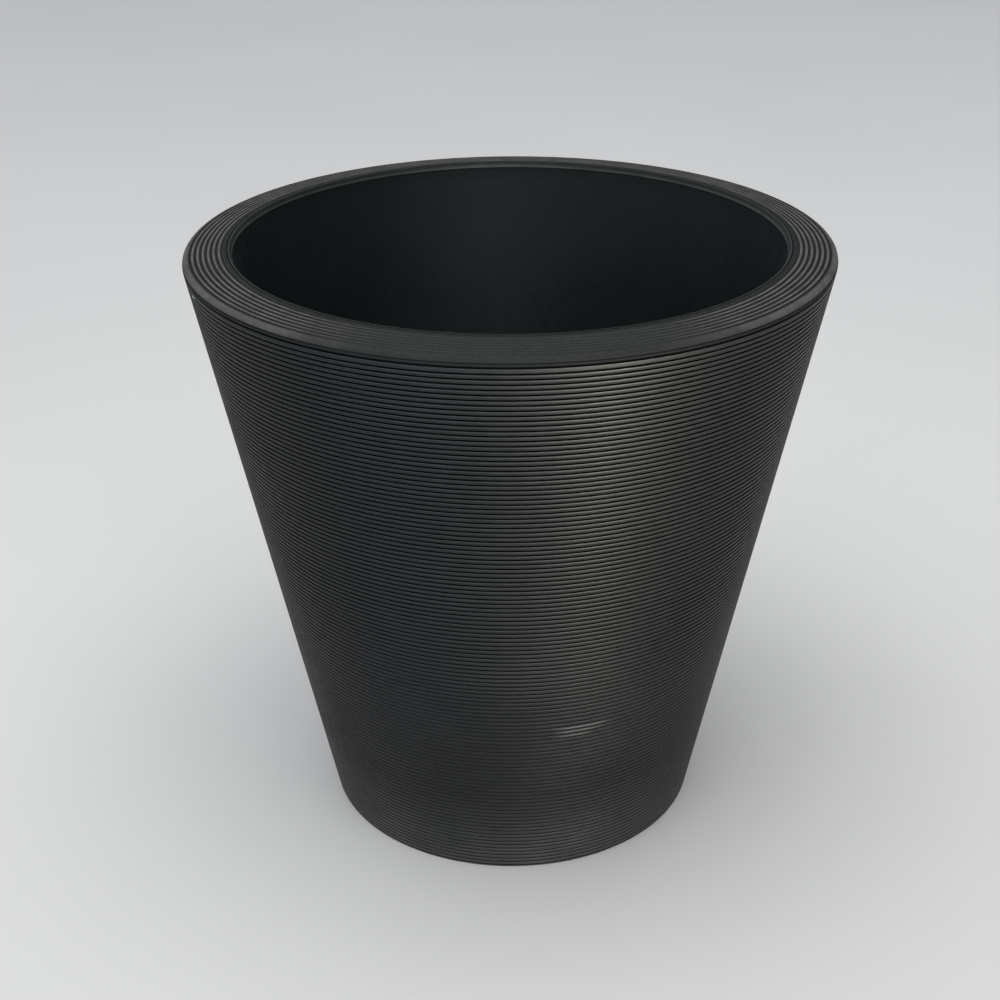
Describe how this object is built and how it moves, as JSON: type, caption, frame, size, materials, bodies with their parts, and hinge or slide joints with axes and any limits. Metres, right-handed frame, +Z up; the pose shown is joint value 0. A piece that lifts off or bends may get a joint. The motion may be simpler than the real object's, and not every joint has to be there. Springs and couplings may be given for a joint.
{
  "type": "planter",
  "caption": "Round tapered planter with a ribbed outer wall, a wide grooved rim, a smooth inner liner and a floor drain with a pull-out plug.",
  "frame": {"origin": "centre of the base, on the ground", "axes": "+Z up along the planter's axis; +X and +Y are level, and the object is round, so their direction is free"},
  "size_m": [0.4999, 0.5, 0.485],
  "materials": {
    "outer_plastic": "matt black moulded polyethylene with fine horizontal ribs",
    "rim_plastic": "matt black moulded polyethylene with concentric grooves",
    "liner_plastic": "smooth matt black moulded polyethylene",
    "fitting_plastic": "dark grey moulded polypropylene",
    "rubber": "matt black rubber",
    "screw_steel": "zinc-plated steel"
  },
  "bodies": {
    "planter": {"outer_shell": "outer_plastic", "inner_liner": "liner_plastic", "rim_ring": "rim_plastic", "rim_screws": "screw_steel", "drain_bush": "fitting_plastic", "drain_washers": "rubber", "drain_nut": "fitting_plastic"},
    "plug": {"drain_plug": "rubber"}
  },
  "joints": [
    {"name": "plug_pull", "type": "slide", "parent": "planter", "child": "plug", "axis": [0, 0, 1], "range_m": [0, 0.06]}
  ]
}
